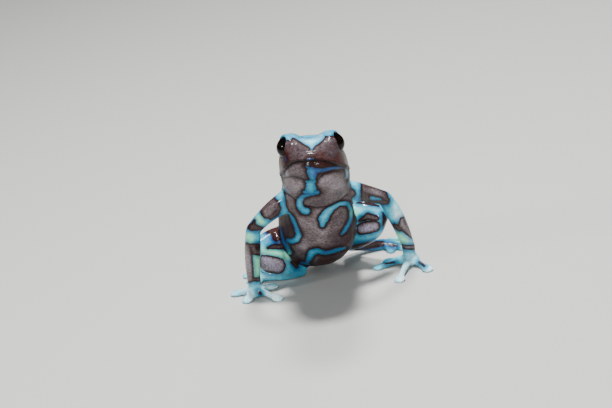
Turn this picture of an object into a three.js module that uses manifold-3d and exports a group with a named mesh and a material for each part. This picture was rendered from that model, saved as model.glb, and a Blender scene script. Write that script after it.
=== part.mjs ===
// A blue-and-bronze poison dart frog, sitting up on its four limbs with the head raised.
// Life size, in millimetres, +Z up. The frog faces -Y, and "f" below is the distance forward.
// Each piece is one closed body, and neighbours stay a thin gap apart.

import * as THREE from "three";
import { mergeVertices } from "three/addons/utils/BufferGeometryUtils.js";
import Module from "manifold-3d";

const wasm = await Module();
wasm.setup();

// Clearances and the fineness of the round forms
const GAP = 0.3;
const BODY_SIDES = 28;
const RINGS_PER_STATION = 2;
const LIMB_SIDES = 12;
const DIGIT_SIDES = 8;

// The front of the frog sits a little to its left, and its head hangs down on that side
const HEAD_SHIFT = 1.25;
const HEAD_DROOP = THREE.MathUtils.degToRad(5);
const LEAN_FROM_F = 3;
const LEAN_TO_F = 18;

// How far the rounded ends of the body stand past its first and last sections
const SNOUT_CAP = 0.12;
const VENT_CAP = 0.3;

// Head
const NECK_STATION = 7.2;
const EYE_RADIUS = 1.65;
const EYE_PLACE = { side: 3.55, f: 21.4, z: 29.2 };
const EYE_LOOK = { side: 0.86, f: 0.42, z: 0.22 };
const ORBIT_RADIUS = 2.05;
const ORBIT_LENGTH = 1.3;
const ORBIT_INSET = 0.5;
const ORBIT_SET_BACK = 0.3;
const UPPER_LID_THICK = 0.32;
const LOWER_LID_THICK = 0.24;
const LID_DEPTH = 0.5;
const LID_THIN = 0.72;
const LID_CORNER = 8;
const NOSTRIL_RADIUS = 0.3;
const NOSTRIL_STATION = 1.75;
const NOSTRIL_ANGLE = 47;
const EARDRUM_RADIUS = 0.85;
const EARDRUM_GROOVE = 0.15;
const EARDRUM_STATION = 5.9;
const EARDRUM_ANGLE = 17;
const MOUTH_CORNER_STATION = 5.35;
const MOUTH_GROOVE = 0.17;
const LIP_RADIUS = 0.36;
const LIP_PROUD = 0.12;
const LIP_OFFSET = 0.4;

// Digits: half widths along the finger or toe, and the round disc at its tip
const FINGER_HALF = 0.5;
const TOE_HALF = 0.45;
const FINGER_DISC = 0.92;
const TOE_DISC = 0.68;
const DISC_THICK = 0.42;
const TIP_HEIGHT = 0.28;
const DIGIT_ROOT = { wide: 1.5, thick: 1.25 };
const DIGIT_KNUCKLE = { share: 0.36, lift: 0.22, wide: 1.05 };
const DIGIT_NECK = { discs: 2.1, lift: 0.05, wide: 0.76, thick: 0.85 };
const DISC_SPAN = 0.9;
const DISC_END = { wide: 0.8, thick: 0.8 };
const PALM_RADIUS = 1.6;
const PALM_FLATNESS = 0.66;
const PALM_SINK = 0.45;
const PALM_END_RADIUS = 1;
const WRIST_RISE = 0.8;
const FINGER_ROOT_SINK = 0.35;
const SOLE_REACH = 0.45;
const SOLE_SINK = 0.1;
const SOLE_TAPER = 0.95;
const TOE_ROOT_SINK = 0.2;

const BRONZE = 0x5d4a3a;
const TURQUOISE = 0x63b4c8;
const BLUE = 0x3f86ad;
const EYE_BLACK = 0x08080a;

// Sections of the body from the snout to the vent. Each has its top and bottom point as
// (f, z), its half width, and the level of its widest line as a share of its height.
const STATIONS = [
  { top: [27.45, 29.2], bottom: [27.35, 27.85], half: 1.3, level: 0.38 },
  { top: [26.95, 29.85], bottom: [27.0, 26.8], half: 2.6, level: 0.38 },
  { top: [25.9, 30.15], bottom: [26.2, 25.5], half: 3.55, level: 0.38 },
  { top: [24.2, 30.3], bottom: [24.9, 24.2], half: 4.35, level: 0.39 },
  { top: [22.3, 30.35], bottom: [23.5, 22.7], half: 4.95, level: 0.4 },
  { top: [20.2, 30.35], bottom: [22.0, 21.2], half: 5.2, level: 0.41 },
  { top: [18.2, 29.9], bottom: [20.6, 19.8], half: 5.5, level: 0.42 },
  { top: [16.0, 28.6], bottom: [19.2, 18.4], half: 5.5, level: 0.44 },
  { top: [13.4, 25.9], bottom: [17.9, 16.2], half: 5.35, level: 0.47 },
  { top: [10.2, 22.0], bottom: [16.2, 12.8], half: 5.55, level: 0.5 },
  { top: [6.8, 18.3], bottom: [13.8, 9.2], half: 6.1, level: 0.5 },
  { top: [3.4, 15.1], bottom: [10.6, 5.7], half: 6.4, level: 0.48 },
  { top: [0.3, 12.1], bottom: [6.7, 2.9], half: 5.8, level: 0.47 },
  { top: [-2.0, 8.9], bottom: [3.0, 1.35], half: 4.2, level: 0.46 },
  { top: [-3.0, 6.0], bottom: [0.0, 1.2], half: 2.8, level: 0.46 },
  { top: [-3.1, 4.0], bottom: [-2.0, 2.0], half: 1.2, level: 0.5 },
];
const UPPER_SQUARENESS = { head: 2.75, belly: 2.2 };
const LOWER_SQUARENESS = { head: 2.25, belly: 2.35 };
const HEAD_END_STATION = 7;
const BELLY_START_STATION = 9;

// Limbs: joint centres as (x, f, z) with the half thickness at each, from the body outwards
const ARMS = {
  r: {
    upper: [[-2.6, 15.4, 19.1, 1.9], [-5.7, 14.9, 17.6, 1.6], [-8.3, 14.0, 15.7, 1.3],
      [-10.4, 13.0, 13.6, 1.15]],
    lower: [[-10.4, 13.0, 13.6, 1.15], [-10.95, 12.1, 10.4, 1.32], [-11.5, 10.9, 7.0, 1.24],
      [-11.85, 9.7, 3.5, 1.1]],
    palm: [-11.95, 8.7, 1.35],
    fingers: [[-8.5, 6.4], [-7.9, 12.6], [-13.8, 11.2], [-15.9, 6.8]],
  },
  l: {
    upper: [[3.6, 14.8, 19.0, 1.9], [6.9, 14.0, 17.8, 1.65], [9.7, 12.2, 16.1, 1.35],
      [12.2, 10.2, 14.2, 1.2]],
    lower: [[12.2, 10.2, 14.2, 1.2], [13.35, 9.4, 11.2, 1.35], [14.4, 8.3, 7.4, 1.22],
      [15.1, 6.9, 3.9, 1.08]],
    palm: [15.1, 6.2, 1.4],
    fingers: [[10.9, 3.7], [9.0, 5.9], [12.3, 13.3], [17.9, 10.8]],
  },
};
const LEGS = {
  r: {
    thigh: [[-1.2, -0.6, 4.6, 2.5], [-4.4, 2.4, 6.9, 2.3], [-7.6, 5.4, 8.1, 2.1],
      [-10.3, 7.6, 7.9, 1.7]],
    shank: [[-10.3, 7.6, 7.9, 1.7], [-8.7, 6.9, 5.6, 2.35], [-6.3, 5.3, 3.5, 1.95],
      [-3.9, 3.7, 1.35, 1.2]],
    tarsus: [[-3.9, 3.7, 1.35, 1.2], [-6.6, 3.7, 1.2, 1.15], [-9.2, 2.7, 0.95, 1.0]],
    toes: [[-11.7, 4.4], [-13.2, 2.3], [-13.6, -0.4], [-12.6, -4.0], [-9.6, -3.6]],
  },
  l: {
    thigh: [[1.6, -0.6, 5.6, 2.6], [4.8, 2.2, 8.9, 2.55], [8.0, 4.7, 10.7, 2.25],
      [10.9, 6.2, 9.9, 1.75]],
    shank: [[10.9, 6.2, 9.9, 1.75], [9.3, 5.0, 7.6, 2.25], [7.2, 2.4, 5.2, 2.0],
      [5.2, -1.2, 2.7, 1.2]],
    tarsus: [[5.2, -1.2, 2.7, 1.2], [7.6, -2.3, 1.6, 0.98], [10.0, -2.9, 0.9, 0.95]],
    toes: [[12.6, -0.4], [14.8, -0.9], [15.9, -2.9], [14.8, -6.0], [11.6, -6.1]],
  },
};

function point(x, f, z) {
  return new THREE.Vector3(x, -f, z);
}

// Value of a smooth curve through evenly spaced values, at position t along them
function smoothValue(values, t) {
  const last = values.length - 1;
  const i = Math.min(Math.max(Math.floor(t), 0), last - 1);
  const u = t - i;
  const before = values[Math.max(i - 1, 0)];
  const a = values[i];
  const b = values[i + 1];
  const after = values[Math.min(i + 2, last)];
  const slopeA = (b - before) / 2;
  const slopeB = (after - a) / 2;
  return a * (1 - u) ** 2 * (1 + 2 * u) + b * u * u * (3 - 2 * u)
    + slopeA * u * (1 - u) ** 2 - slopeB * u * u * (1 - u);
}

// Places a point of the upright, symmetric body in the leaning frog
function lean(side, f, z) {
  const share = THREE.MathUtils.smoothstep(f, LEAN_FROM_F, LEAN_TO_F);
  return point(HEAD_SHIFT * share + side, f, z - side * Math.tan(HEAD_DROOP * share));
}

function signedPower(value, exponent) {
  return Math.sign(value) * Math.abs(value) ** exponent;
}

// Point on the body's skin at a station and an angle: 0 is the left side, 90 the back
function skinPoint(station, degrees, inflate = 0) {
  const pick = (read) => smoothValue(STATIONS.map(read), station);
  const topF = pick((s) => s.top[0]);
  const topZ = pick((s) => s.top[1]);
  const bottomF = pick((s) => s.bottom[0]);
  const bottomZ = pick((s) => s.bottom[1]);
  const half = pick((s) => s.half) + inflate;
  const level = pick((s) => s.level);
  const angle = THREE.MathUtils.degToRad(degrees);
  const c = Math.cos(angle);
  const s = Math.sin(angle);
  const blend = THREE.MathUtils.smoothstep(station, HEAD_END_STATION, BELLY_START_STATION);
  const square = s > 0 ? UPPER_SQUARENESS : LOWER_SQUARENESS;
  const power = 2 / THREE.MathUtils.lerp(square.head, square.belly, blend);
  const height = Math.hypot(topF - bottomF, topZ - bottomZ);
  const rise = s > 0 ? (1 - level) * height + inflate : level * height + inflate;
  const along = level + signedPower(s, power) * (rise / height);
  return lean(
    half * signedPower(c, power),
    bottomF + (topF - bottomF) * along,
    bottomZ + (topZ - bottomZ) * along,
  );
}

// Closed geometry through rings of points, with one point closing each end
function closedLoft(rings, startPole, endPole) {
  const count = rings[0].length;
  const points = [startPole, ...rings.flat(), endPole];
  const index = [];
  const at = (ring, i) => 1 + ring * count + (i % count);
  for (let i = 0; i < count; i += 1) {
    index.push(0, at(0, i + 1), at(0, i));
    for (let ring = 0; ring < rings.length - 1; ring += 1) {
      index.push(at(ring, i), at(ring, i + 1), at(ring + 1, i + 1));
      index.push(at(ring, i), at(ring + 1, i + 1), at(ring + 1, i));
    }
    index.push(points.length - 1, at(rings.length - 1, i), at(rings.length - 1, i + 1));
  }
  if (signedVolume(points, index) < 0) index.reverse();
  const geometry = new THREE.BufferGeometry().setFromPoints(points);
  geometry.setIndex(index);
  return geometry;
}

function signedVolume(points, index) {
  let volume = 0;
  for (let i = 0; i < index.length; i += 3) {
    const [a, b, c] = [0, 1, 2].map((k) => points[index[i + k]]);
    volume += a.dot(new THREE.Vector3().crossVectors(b, c));
  }
  return volume;
}

// The body's skin between two stations, as one closed loft
function bodyLoft(inflate = 0) {
  const spans = (STATIONS.length - 1) * RINGS_PER_STATION;
  const rings = [];
  for (let i = 0; i <= spans; i += 1) {
    const ring = [];
    for (let j = 0; j < BODY_SIDES; j += 1) {
      ring.push(skinPoint(i / RINGS_PER_STATION, (360 * j) / BODY_SIDES, inflate));
    }
    rings.push(ring);
  }
  const snout = middle(rings[0]).add(point(0, SNOUT_CAP + inflate, 0));
  const vent = middle(rings[spans]).add(point(0, -VENT_CAP - inflate, 0));
  return closedLoft(rings, snout, vent);
}

function middle(points) {
  const sum = points.reduce((total, p) => total.add(p), new THREE.Vector3());
  return sum.divideScalar(points.length);
}

// Round-ended tube through points given as { at, wide, thick }. Its thickness runs along
// "up", or along a direction carried smoothly down the tube where none is given.
function tube(points, { up = null, sides = LIMB_SIDES, steps = 8, caps = 2 } = {}) {
  const curve = new THREE.CatmullRomCurve3(points.map((p) => p.at), false, "centripetal");
  const stretch = points.length - 1;
  const rings = [];
  let across = null;
  const addRing = (centre, tangent, wide, thick) => {
    const reference = up ?? across ?? sideways(tangent);
    if (up) across = new THREE.Vector3().crossVectors(tangent, up).normalize();
    else across = reference.clone().addScaledVector(tangent, -reference.dot(tangent)).normalize();
    const depth = new THREE.Vector3().crossVectors(across, tangent).normalize();
    const ring = [];
    for (let j = 0; j < sides; j += 1) {
      const angle = (2 * Math.PI * j) / sides;
      ring.push(centre.clone()
        .addScaledVector(across, wide * Math.cos(angle))
        .addScaledVector(depth, thick * Math.sin(angle)));
    }
    rings.push(ring);
  };
  const sample = (t) => ({
    centre: curve.getPoint(t),
    tangent: curve.getTangent(t),
    wide: smoothValue(points.map((p) => p.wide), t * stretch),
    thick: smoothValue(points.map((p) => p.thick), t * stretch),
  });
  const start = sample(0);
  const end = sample(1);
  for (let k = caps; k > 0; k -= 1) addCap(start, -1, k);
  for (let i = 0; i <= steps; i += 1) {
    const s = sample(i / steps);
    addRing(s.centre, s.tangent, s.wide, s.thick);
  }
  for (let k = 1; k <= caps; k += 1) addCap(end, 1, k);
  const pole = (s, way) => s.centre.clone().addScaledVector(s.tangent, way * s.thick);
  return closedLoft(rings, pole(start, -1), pole(end, 1));

  function addCap(s, way, k) {
    const angle = (k * Math.PI) / 2 / (caps + 1);
    const centre = s.centre.clone().addScaledVector(s.tangent, way * s.thick * Math.sin(angle));
    addRing(centre, s.tangent, s.wide * Math.cos(angle), s.thick * Math.cos(angle));
  }
}

// Any direction square to a tangent
function sideways(tangent) {
  const axis = Math.abs(tangent.x) < 0.7 ? new THREE.Vector3(1, 0, 0) : new THREE.Vector3(0, 1, 0);
  return axis.cross(tangent).normalize();
}

function limbPoints(rows) {
  return rows.map(([x, f, z, r]) => ({ at: point(x, f, z), wide: r, thick: r }));
}

function limb(rows) {
  return solid(tube(limbPoints(rows)));
}

// Turns closed geometry into a solid that can be joined and cut
function solid(geometry) {
  const bare = geometry.clone();
  bare.deleteAttribute("normal");
  bare.deleteAttribute("uv");
  const merged = mergeVertices(bare, 1e-5);
  return new wasm.Manifold(new wasm.Mesh({
    numProp: 3,
    vertProperties: Float32Array.from(merged.attributes.position.array),
    triVerts: Uint32Array.from(merged.index.array),
  }));
}

function ball(centre, radius, scale = [1, 1, 1], fineness = 18) {
  const geometry = new THREE.SphereGeometry(radius, fineness, Math.round(fineness * 0.7));
  geometry.scale(...scale);
  geometry.translate(centre.x, centre.y, centre.z);
  return solid(geometry);
}

function joinAll(solids) {
  return solids.reduce((total, next) => total.add(next));
}

// Cuts away all that lies behind a plane through a point, and half a gap before it
function keepAhead(body, centre, direction) {
  const n = direction.clone().normalize();
  return body.trimByPlane([n.x, n.y, n.z], n.dot(centre) + GAP / 2);
}

function aboveFloor(body) {
  return body.trimByPlane([0, 0, 1], 0);
}

// Centre and direction of the seam at the joint between two stretches of a limb
function seam(before, after) {
  const a = limbPoints(before.slice(-2));
  const b = limbPoints(after.slice(0, 2));
  const along = a[1].at.clone().sub(a[0].at).normalize();
  const onward = b[1].at.clone().sub(b[0].at).normalize();
  return { centre: b[0].at, direction: along.add(onward).normalize() };
}

function cutBefore(body, joint) {
  return keepAhead(body, joint.centre, joint.direction.clone().negate());
}

function cutAfter(body, joint) {
  return keepAhead(body, joint.centre, joint.direction);
}

// Named mesh of a solid, which keeps its largest closed surface
function piece(name, body, colour, roughness = 0.35) {
  const largest = body.decompose().reduce((a, b) => (b.volume() > a.volume() ? b : a));
  const mesh = largest.getMesh();
  const geometry = new THREE.BufferGeometry();
  geometry.setAttribute("position", new THREE.BufferAttribute(mesh.vertProperties, 3));
  geometry.setIndex(new THREE.BufferAttribute(mesh.triVerts, 1));
  const material = new THREE.MeshStandardMaterial({ color: colour, roughness, metalness: 0 });
  const result = new THREE.Mesh(geometry, material);
  result.name = name;
  return result;
}

const SIDES = [
  { name: "r", sign: -1 },
  { name: "l", sign: 1 },
];

function eyeCentre(sign, inset = 0, setBack = 0) {
  return lean(sign * (EYE_PLACE.side - inset), EYE_PLACE.f - setBack, EYE_PLACE.z);
}

// Arc of lid round the front of an eye, thickest in its middle
function lid(sign, fromDegrees, toDegrees, thick) {
  const centre = eyeCentre(sign);
  const look = point(sign * EYE_LOOK.side, EYE_LOOK.f, EYE_LOOK.z).normalize();
  const upward = new THREE.Vector3(0, 0, 1).addScaledVector(look, -look.z).normalize();
  const across = new THREE.Vector3().crossVectors(look, upward);
  const ringRadius = Math.sqrt((EYE_RADIUS + GAP) ** 2 - LID_DEPTH ** 2);
  const count = 7;
  const points = [];
  for (let i = 0; i < count; i += 1) {
    const share = i / (count - 1);
    const angle = THREE.MathUtils.degToRad(fromDegrees + (toDegrees - fromDegrees) * share);
    const at = centre.clone()
      .addScaledVector(look, LID_DEPTH)
      .addScaledVector(across, ringRadius * Math.cos(angle))
      .addScaledVector(upward, ringRadius * Math.sin(angle));
    const swell = thick * (LID_THIN + (1 - LID_THIN) * Math.sin(Math.PI * share));
    points.push({ at, wide: swell, thick: swell });
  }
  return solid(tube(points, { sides: 6, steps: 10, caps: 1 }));
}

// Line along the gape, from one corner round the snout to the other, raised or lowered
// from the widest line of the head by "lift" and sunk below the skin by "sink"
function gapeTube(radius, lift, sink) {
  const stations = [MOUTH_CORNER_STATION, 4, 3, 2, 1, 0.35];
  const sideOf = (sign) => stations.map((station) => {
    const at = skinPoint(station, sign > 0 ? 0 : 180, -sink);
    at.z += lift;
    const thick = station === MOUTH_CORNER_STATION ? radius * 0.7 : radius;
    return { at, wide: thick, thick };
  });
  const front = middle([skinPoint(0, 0, -sink), skinPoint(0, 180, -sink)]);
  front.add(point(0, SNOUT_CAP - sink, lift));
  const middlePoint = { at: front, wide: radius, thick: radius };
  const points = [...sideOf(1), middlePoint, ...sideOf(-1).reverse()];
  return solid(tube(points, { sides: 6, steps: 28, caps: 1 }));
}

// Ring groove round each eardrum, square to the skin
function eardrumGroove(sign) {
  const angle = sign > 0 ? EARDRUM_ANGLE : 180 - EARDRUM_ANGLE;
  const at = (ds, da) => skinPoint(EARDRUM_STATION + ds, angle + da);
  const along = at(0.2, 0).sub(at(-0.2, 0));
  const round = at(0, 4).sub(at(0, -4));
  const normal = along.cross(round).normalize();
  if (normal.x * sign < 0) normal.negate();
  const geometry = new THREE.TorusGeometry(EARDRUM_RADIUS, EARDRUM_GROOVE, 5, 16);
  const turn = new THREE.Quaternion().setFromUnitVectors(new THREE.Vector3(0, 0, 1), normal);
  geometry.applyQuaternion(turn);
  const centre = at(0, 0);
  geometry.translate(centre.x, centre.y, centre.z);
  return solid(geometry);
}

function neckSeam() {
  const top = skinPoint(NECK_STATION, 90);
  const bottom = skinPoint(NECK_STATION, 270);
  const left = skinPoint(NECK_STATION, 0);
  const right = skinPoint(NECK_STATION, 180);
  const direction = top.clone().sub(bottom).cross(left.clone().sub(right)).normalize();
  if (direction.y < 0) direction.negate();
  return { centre: middle([top, bottom, left, right]), direction };
}

function makeHead(body) {
  let head = cutBefore(body, neckSeam());
  head = head.add(gapeTube(LIP_RADIUS, LIP_OFFSET, LIP_RADIUS - LIP_PROUD));
  head = head.add(gapeTube(LIP_RADIUS, -LIP_OFFSET, LIP_RADIUS - LIP_PROUD));
  for (const { sign } of SIDES) {
    const orbit = eyeCentre(sign, ORBIT_INSET, ORBIT_SET_BACK);
    head = head.add(ball(orbit, ORBIT_RADIUS, [1, ORBIT_LENGTH, 1], 16));
    head = head.add(lid(sign, LID_CORNER, 180 - LID_CORNER, UPPER_LID_THICK));
    head = head.add(lid(sign, 180 + LID_CORNER, 360 - LID_CORNER, LOWER_LID_THICK));
  }
  head = head.subtract(gapeTube(MOUTH_GROOVE, 0, 0));
  for (const { sign } of SIDES) {
    head = head.subtract(ball(eyeCentre(sign), EYE_RADIUS + GAP, [1, 1, 1], 16));
    const angle = sign > 0 ? NOSTRIL_ANGLE : 180 - NOSTRIL_ANGLE;
    head = head.subtract(ball(skinPoint(NOSTRIL_STATION, angle), NOSTRIL_RADIUS, [1, 1, 0.8], 8));
    head = head.subtract(eardrumGroove(sign));
  }
  return head;
}

// One finger or toe from the sole to a round disc that lies on the floor
function digit(from, tip, half, disc) {
  const root = point(...from);
  const end = point(tip[0], tip[1], TIP_HEIGHT);
  const way = end.clone().sub(root);
  const arch = (share, lift) => {
    const p = root.clone().addScaledVector(way, share);
    p.z += lift;
    return p;
  };
  const backFromTip = (discs) => 1 - (discs * disc) / way.length();
  const neck = arch(backFromTip(DIGIT_NECK.discs), DIGIT_NECK.lift);
  const points = [
    { at: root, wide: half * DIGIT_ROOT.wide, thick: half * DIGIT_ROOT.thick },
    { at: arch(DIGIT_KNUCKLE.share, DIGIT_KNUCKLE.lift), wide: half * DIGIT_KNUCKLE.wide, thick: half },
    { at: neck, wide: half * DIGIT_NECK.wide, thick: half * DIGIT_NECK.thick },
    { at: arch(backFromTip(DISC_SPAN), 0), wide: disc, thick: DISC_THICK },
    { at: end, wide: disc * DISC_END.wide, thick: DISC_THICK * DISC_END.thick },
  ];
  return solid(tube(points, {
    up: new THREE.Vector3(0, 0, 1), sides: DIGIT_SIDES, steps: 8, caps: 1,
  }));
}

function makeHand(arm, wristJoint) {
  const [x, f, z] = arm.palm;
  const wrist = arm.lower.at(-1);
  const palm = ball(point(x, f, z - PALM_SINK), PALM_RADIUS, [1, 1, PALM_FLATNESS], 14);
  const stub = solid(tube(limbPoints([
    [wrist[0], wrist[1], wrist[2] + WRIST_RISE, wrist[3]],
    wrist,
    [x, f, z, PALM_END_RADIUS],
  ]), { steps: 6 }));
  const fingerRoot = [x, f, z - FINGER_ROOT_SINK];
  const fingers = arm.fingers.map((tip) => digit(fingerRoot, tip, FINGER_HALF, FINGER_DISC));
  return aboveFloor(cutAfter(joinAll([palm, stub, ...fingers]), wristJoint));
}

function makeFoot(leg, footJoint) {
  const root = leg.tarsus.at(-1);
  const [x, f, z, r] = root;
  const before = leg.tarsus.at(-2);
  const onward = [x + (x - before[0]) * SOLE_REACH, f + (f - before[1]) * SOLE_REACH];
  const sole = solid(tube(limbPoints([
    [before[0], before[1], before[2], r],
    root,
    [...onward, z - SOLE_SINK, r * SOLE_TAPER],
  ]), { steps: 6 }));
  const toeRoot = [...onward, z - TOE_ROOT_SINK];
  const toes = leg.toes.map((tip) => digit(toeRoot, tip, TOE_HALF, TOE_DISC));
  return aboveFloor(cutAfter(joinAll([sole, ...toes]), footJoint));
}

const body = solid(bodyLoft());
const clearBody = solid(bodyLoft(GAP));

const frog = new THREE.Group();
const torso = cutAfter(body, neckSeam());
frog.add(piece("head", makeHead(body), BRONZE));
frog.add(piece("torso", aboveFloor(torso), BLUE));

for (const { name, sign } of SIDES) {
  frog.add(piece(`eye_${name}`, ball(eyeCentre(sign), EYE_RADIUS), EYE_BLACK, 0.05));

  const arm = ARMS[name];
  const elbow = seam(arm.upper, arm.lower);
  const wrist = seam(arm.lower, [arm.lower.at(-1), arm.palm]);
  const upperArm = cutBefore(limb(arm.upper), elbow).subtract(clearBody);
  const forearm = cutBefore(cutAfter(limb(arm.lower), elbow), wrist);
  frog.add(piece(`upper_arm_${name}`, upperArm, BRONZE));
  frog.add(piece(`forearm_${name}`, forearm, TURQUOISE));
  frog.add(piece(`hand_${name}`, makeHand(arm, wrist), TURQUOISE));

  const leg = LEGS[name];
  const knee = seam(leg.thigh, leg.shank);
  const heel = seam(leg.shank, leg.tarsus);
  const foot = {
    centre: limbPoints([leg.tarsus.at(-1)])[0].at,
    direction: seam(leg.tarsus, leg.tarsus.slice(-2)).direction,
  };
  const thigh = cutBefore(limb(leg.thigh), knee).subtract(clearBody);
  const shank = cutBefore(cutAfter(limb(leg.shank), knee), heel).subtract(clearBody);
  const tarsus = cutBefore(cutAfter(limb(leg.tarsus), heel), foot).subtract(clearBody);
  frog.add(piece(`thigh_${name}`, aboveFloor(thigh), BLUE));
  frog.add(piece(`shank_${name}`, aboveFloor(shank), BRONZE));
  frog.add(piece(`tarsus_${name}`, aboveFloor(tarsus), TURQUOISE));
  frog.add(piece(`foot_${name}`, makeFoot(leg, foot), TURQUOISE));
}

// The origin is the middle of the space the frog takes up, on the floor
const box = new THREE.Box3().setFromObject(frog);
const centre = box.getCenter(new THREE.Vector3());
frog.position.set(-centre.x, -centre.y, -box.min.z);

export default frog;
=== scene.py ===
import math

import bmesh
import bpy
import numpy as np
from mathutils import Matrix, Vector
from mathutils.bvhtree import BVHTree


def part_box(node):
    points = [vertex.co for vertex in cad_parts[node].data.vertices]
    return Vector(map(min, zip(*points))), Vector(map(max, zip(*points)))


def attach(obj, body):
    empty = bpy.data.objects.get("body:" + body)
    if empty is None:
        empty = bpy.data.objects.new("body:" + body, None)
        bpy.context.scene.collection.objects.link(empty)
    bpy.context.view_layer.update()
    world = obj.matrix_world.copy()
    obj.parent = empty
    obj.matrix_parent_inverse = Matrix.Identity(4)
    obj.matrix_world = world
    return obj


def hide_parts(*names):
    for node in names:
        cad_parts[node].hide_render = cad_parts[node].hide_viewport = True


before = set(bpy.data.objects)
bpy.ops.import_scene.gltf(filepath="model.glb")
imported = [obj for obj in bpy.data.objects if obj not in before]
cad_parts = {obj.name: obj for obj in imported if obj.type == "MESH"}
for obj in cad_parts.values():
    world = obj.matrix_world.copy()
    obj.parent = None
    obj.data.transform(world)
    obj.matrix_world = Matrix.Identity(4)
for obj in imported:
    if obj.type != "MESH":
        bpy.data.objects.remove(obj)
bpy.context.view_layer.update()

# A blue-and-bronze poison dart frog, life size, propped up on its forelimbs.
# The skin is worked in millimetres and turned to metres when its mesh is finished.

MM = 0.001

# The frog's own frame faces -Y, with f towards the nose, and has the head's lean in it. The
# middle of the two eyes is a known place in it, which gives the shift to the model's frame.
HEAD_SHIFT = 1.25
HEAD_DROOP = math.radians(5)
LEAN_FROM_F, LEAN_TO_F = 3.0, 18.0
EYES_F, EYES_Z = 21.4, 29.2

# The camera stands where the photograph was taken from, rolled to keep the frog's lean, and
# has a known point of the chest at a known pixel. Only its near and far ends are in metres.
CAMERA_DISTANCE = 300.0
CAMERA_RISE = math.radians(20.0)
CAMERA_ROLL = math.radians(9.5)
CAMERA_LENS = 105.0
CAMERA_SENSOR = 36.0
CAMERA_NEAR, CAMERA_FAR = 0.01, 5.0
PHOTO_WIDTH, PHOTO_HEIGHT = 612, 408
ANCHOR = Vector((0.0, -10.0, 12.0))
ANCHOR_PIXEL = (315, 222)

# The flesh swells by SWELL, and at sharp edges by up to SWELL_LIMIT times as much, so that its
# seams close. It becomes one skin on a grid of VOXEL, draws back and is smoothed, the hands and
# feet less than the rest, and SWELL_BACK makes up for what the smoothing takes.
SWELL = 0.22
SWELL_LIMIT = 1.8
WELD = 0.002
VOXEL = 0.201
FIRST_ROUNDS = 2
SMOOTH_ROUNDS = 15
SMOOTH_STEP = 0.6
TOE_HOLD = 0.8
TOE_SPREAD = 4
SWELL_BACK = 0.1

# A point of the skin is fully in view from a slope of 1 in SEEN_GAIN towards the viewer. The
# line of sight starts LIFT_OFF above it, so that it misses the point's own faces.
SEEN_GAIN = 8
SEEN_SPREAD = 3
LIFT_OFF = 0.06

# Markings and creases were traced over the photograph enlarged 7 times from a corner
TRACE = 7
TRACE_CORNER = (225, 115)
MM_PER_PIXEL = 0.165
MM_PER_TRACE = MM_PER_PIXEL / TRACE
NOWHERE = 1e9

# Eyes: where they look, how much larger each radius is than the solid's, how far the cornea
# bulges and how close to the gaze it starts, then the pupil, which is wider than high, and the
# iris as shares of the ball's radius, the blur of their edges, and the width of a fleck
GAZE = (0.9, -0.42, 0.1)
EYE_GROW = 0.24
EYE_SEGMENTS, EYE_RINGS = 64, 40
CORNEA = 0.07
CORNEA_EDGE = 0.6
PUPIL, PUPIL_BLUR = 0.3, 0.03
PUPIL_SQUASH = 0.7
IRIS, IRIS_BLUR = 0.62, 0.06
FLECK = 0.15

# The room, in metres and watts: lamps as (name, place, width, height, power, whether it shines
# in the wet skin), all aimed at one point of the frog
FLOOR_HALF = 1.5
LAMP_AIM = Vector((0, 0, 0.015))
SKY_COLOUR, SKY_STRENGTH = "#d7dbe0", 0.15
LAMPS = [
    ("overhead", (0.02, -0.05, 0.34), 0.045, 0.045, 2.2, True),
    ("front_strip", (-0.01, -0.34, 0.16), 0.02, 0.26, 0.9, True),
    ("side", (-0.30, -0.16, 0.2), 0.04, 0.04, 0.45, True),
    ("above_behind", (0.03, 0.13, 0.33), 0.07, 0.07, 1.0, True),
    ("behind", (0.12, 0.32, 0.24), 0.2, 0.2, 0.4, False),
]

# Every solid but the eyes
FLESH = sorted(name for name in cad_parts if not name.startswith("eye_"))


def smooth(share):
    """Eases a share from 0 to 1, so that what it drives starts and ends gently."""
    return share * share * (3 - 2 * share)


def frog_point(side, f, z):
    """A point of the leaning frog from its place in the upright, symmetric body."""
    share = smooth(min(max((f - LEAN_FROM_F) / (LEAN_TO_F - LEAN_FROM_F), 0.0), 1.0))
    return Vector((HEAD_SHIFT * share + side, -f, z - side * math.tan(HEAD_DROOP * share)))


def box_middle(node):
    low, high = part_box(node)
    return (low + high) / (2 * MM)


EYES_MIDDLE = (box_middle("eye_l") + box_middle("eye_r")) / 2
SHIFT = EYES_MIDDLE - frog_point(0, EYES_F, EYES_Z)


def placed(side, f, z):
    return frog_point(side, f, z) + SHIFT


# Camera axes, and the width of a pixel at a distance of 1
CAMERA_BACK = Vector((0, -math.cos(CAMERA_RISE), math.sin(CAMERA_RISE)))
LEVEL_UP = Vector((0, math.sin(CAMERA_RISE), math.cos(CAMERA_RISE)))
LEVEL_RIGHT = Vector((1, 0, 0))
CAMERA_RIGHT = math.cos(CAMERA_ROLL) * LEVEL_RIGHT - math.sin(CAMERA_ROLL) * LEVEL_UP
CAMERA_UP = math.sin(CAMERA_ROLL) * LEVEL_RIGHT + math.cos(CAMERA_ROLL) * LEVEL_UP
PIXEL = CAMERA_SENSOR / CAMERA_LENS / PHOTO_WIDTH


def camera_place():
    across = (ANCHOR_PIXEL[0] - PHOTO_WIDTH / 2) * PIXEL * CAMERA_DISTANCE
    upward = (PHOTO_HEIGHT / 2 - ANCHOR_PIXEL[1]) * PIXEL * CAMERA_DISTANCE
    back = CAMERA_BACK * CAMERA_DISTANCE
    return ANCHOR + SHIFT + back - across * CAMERA_RIGHT - upward * CAMERA_UP


CAMERA_PLACE = camera_place()


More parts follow.
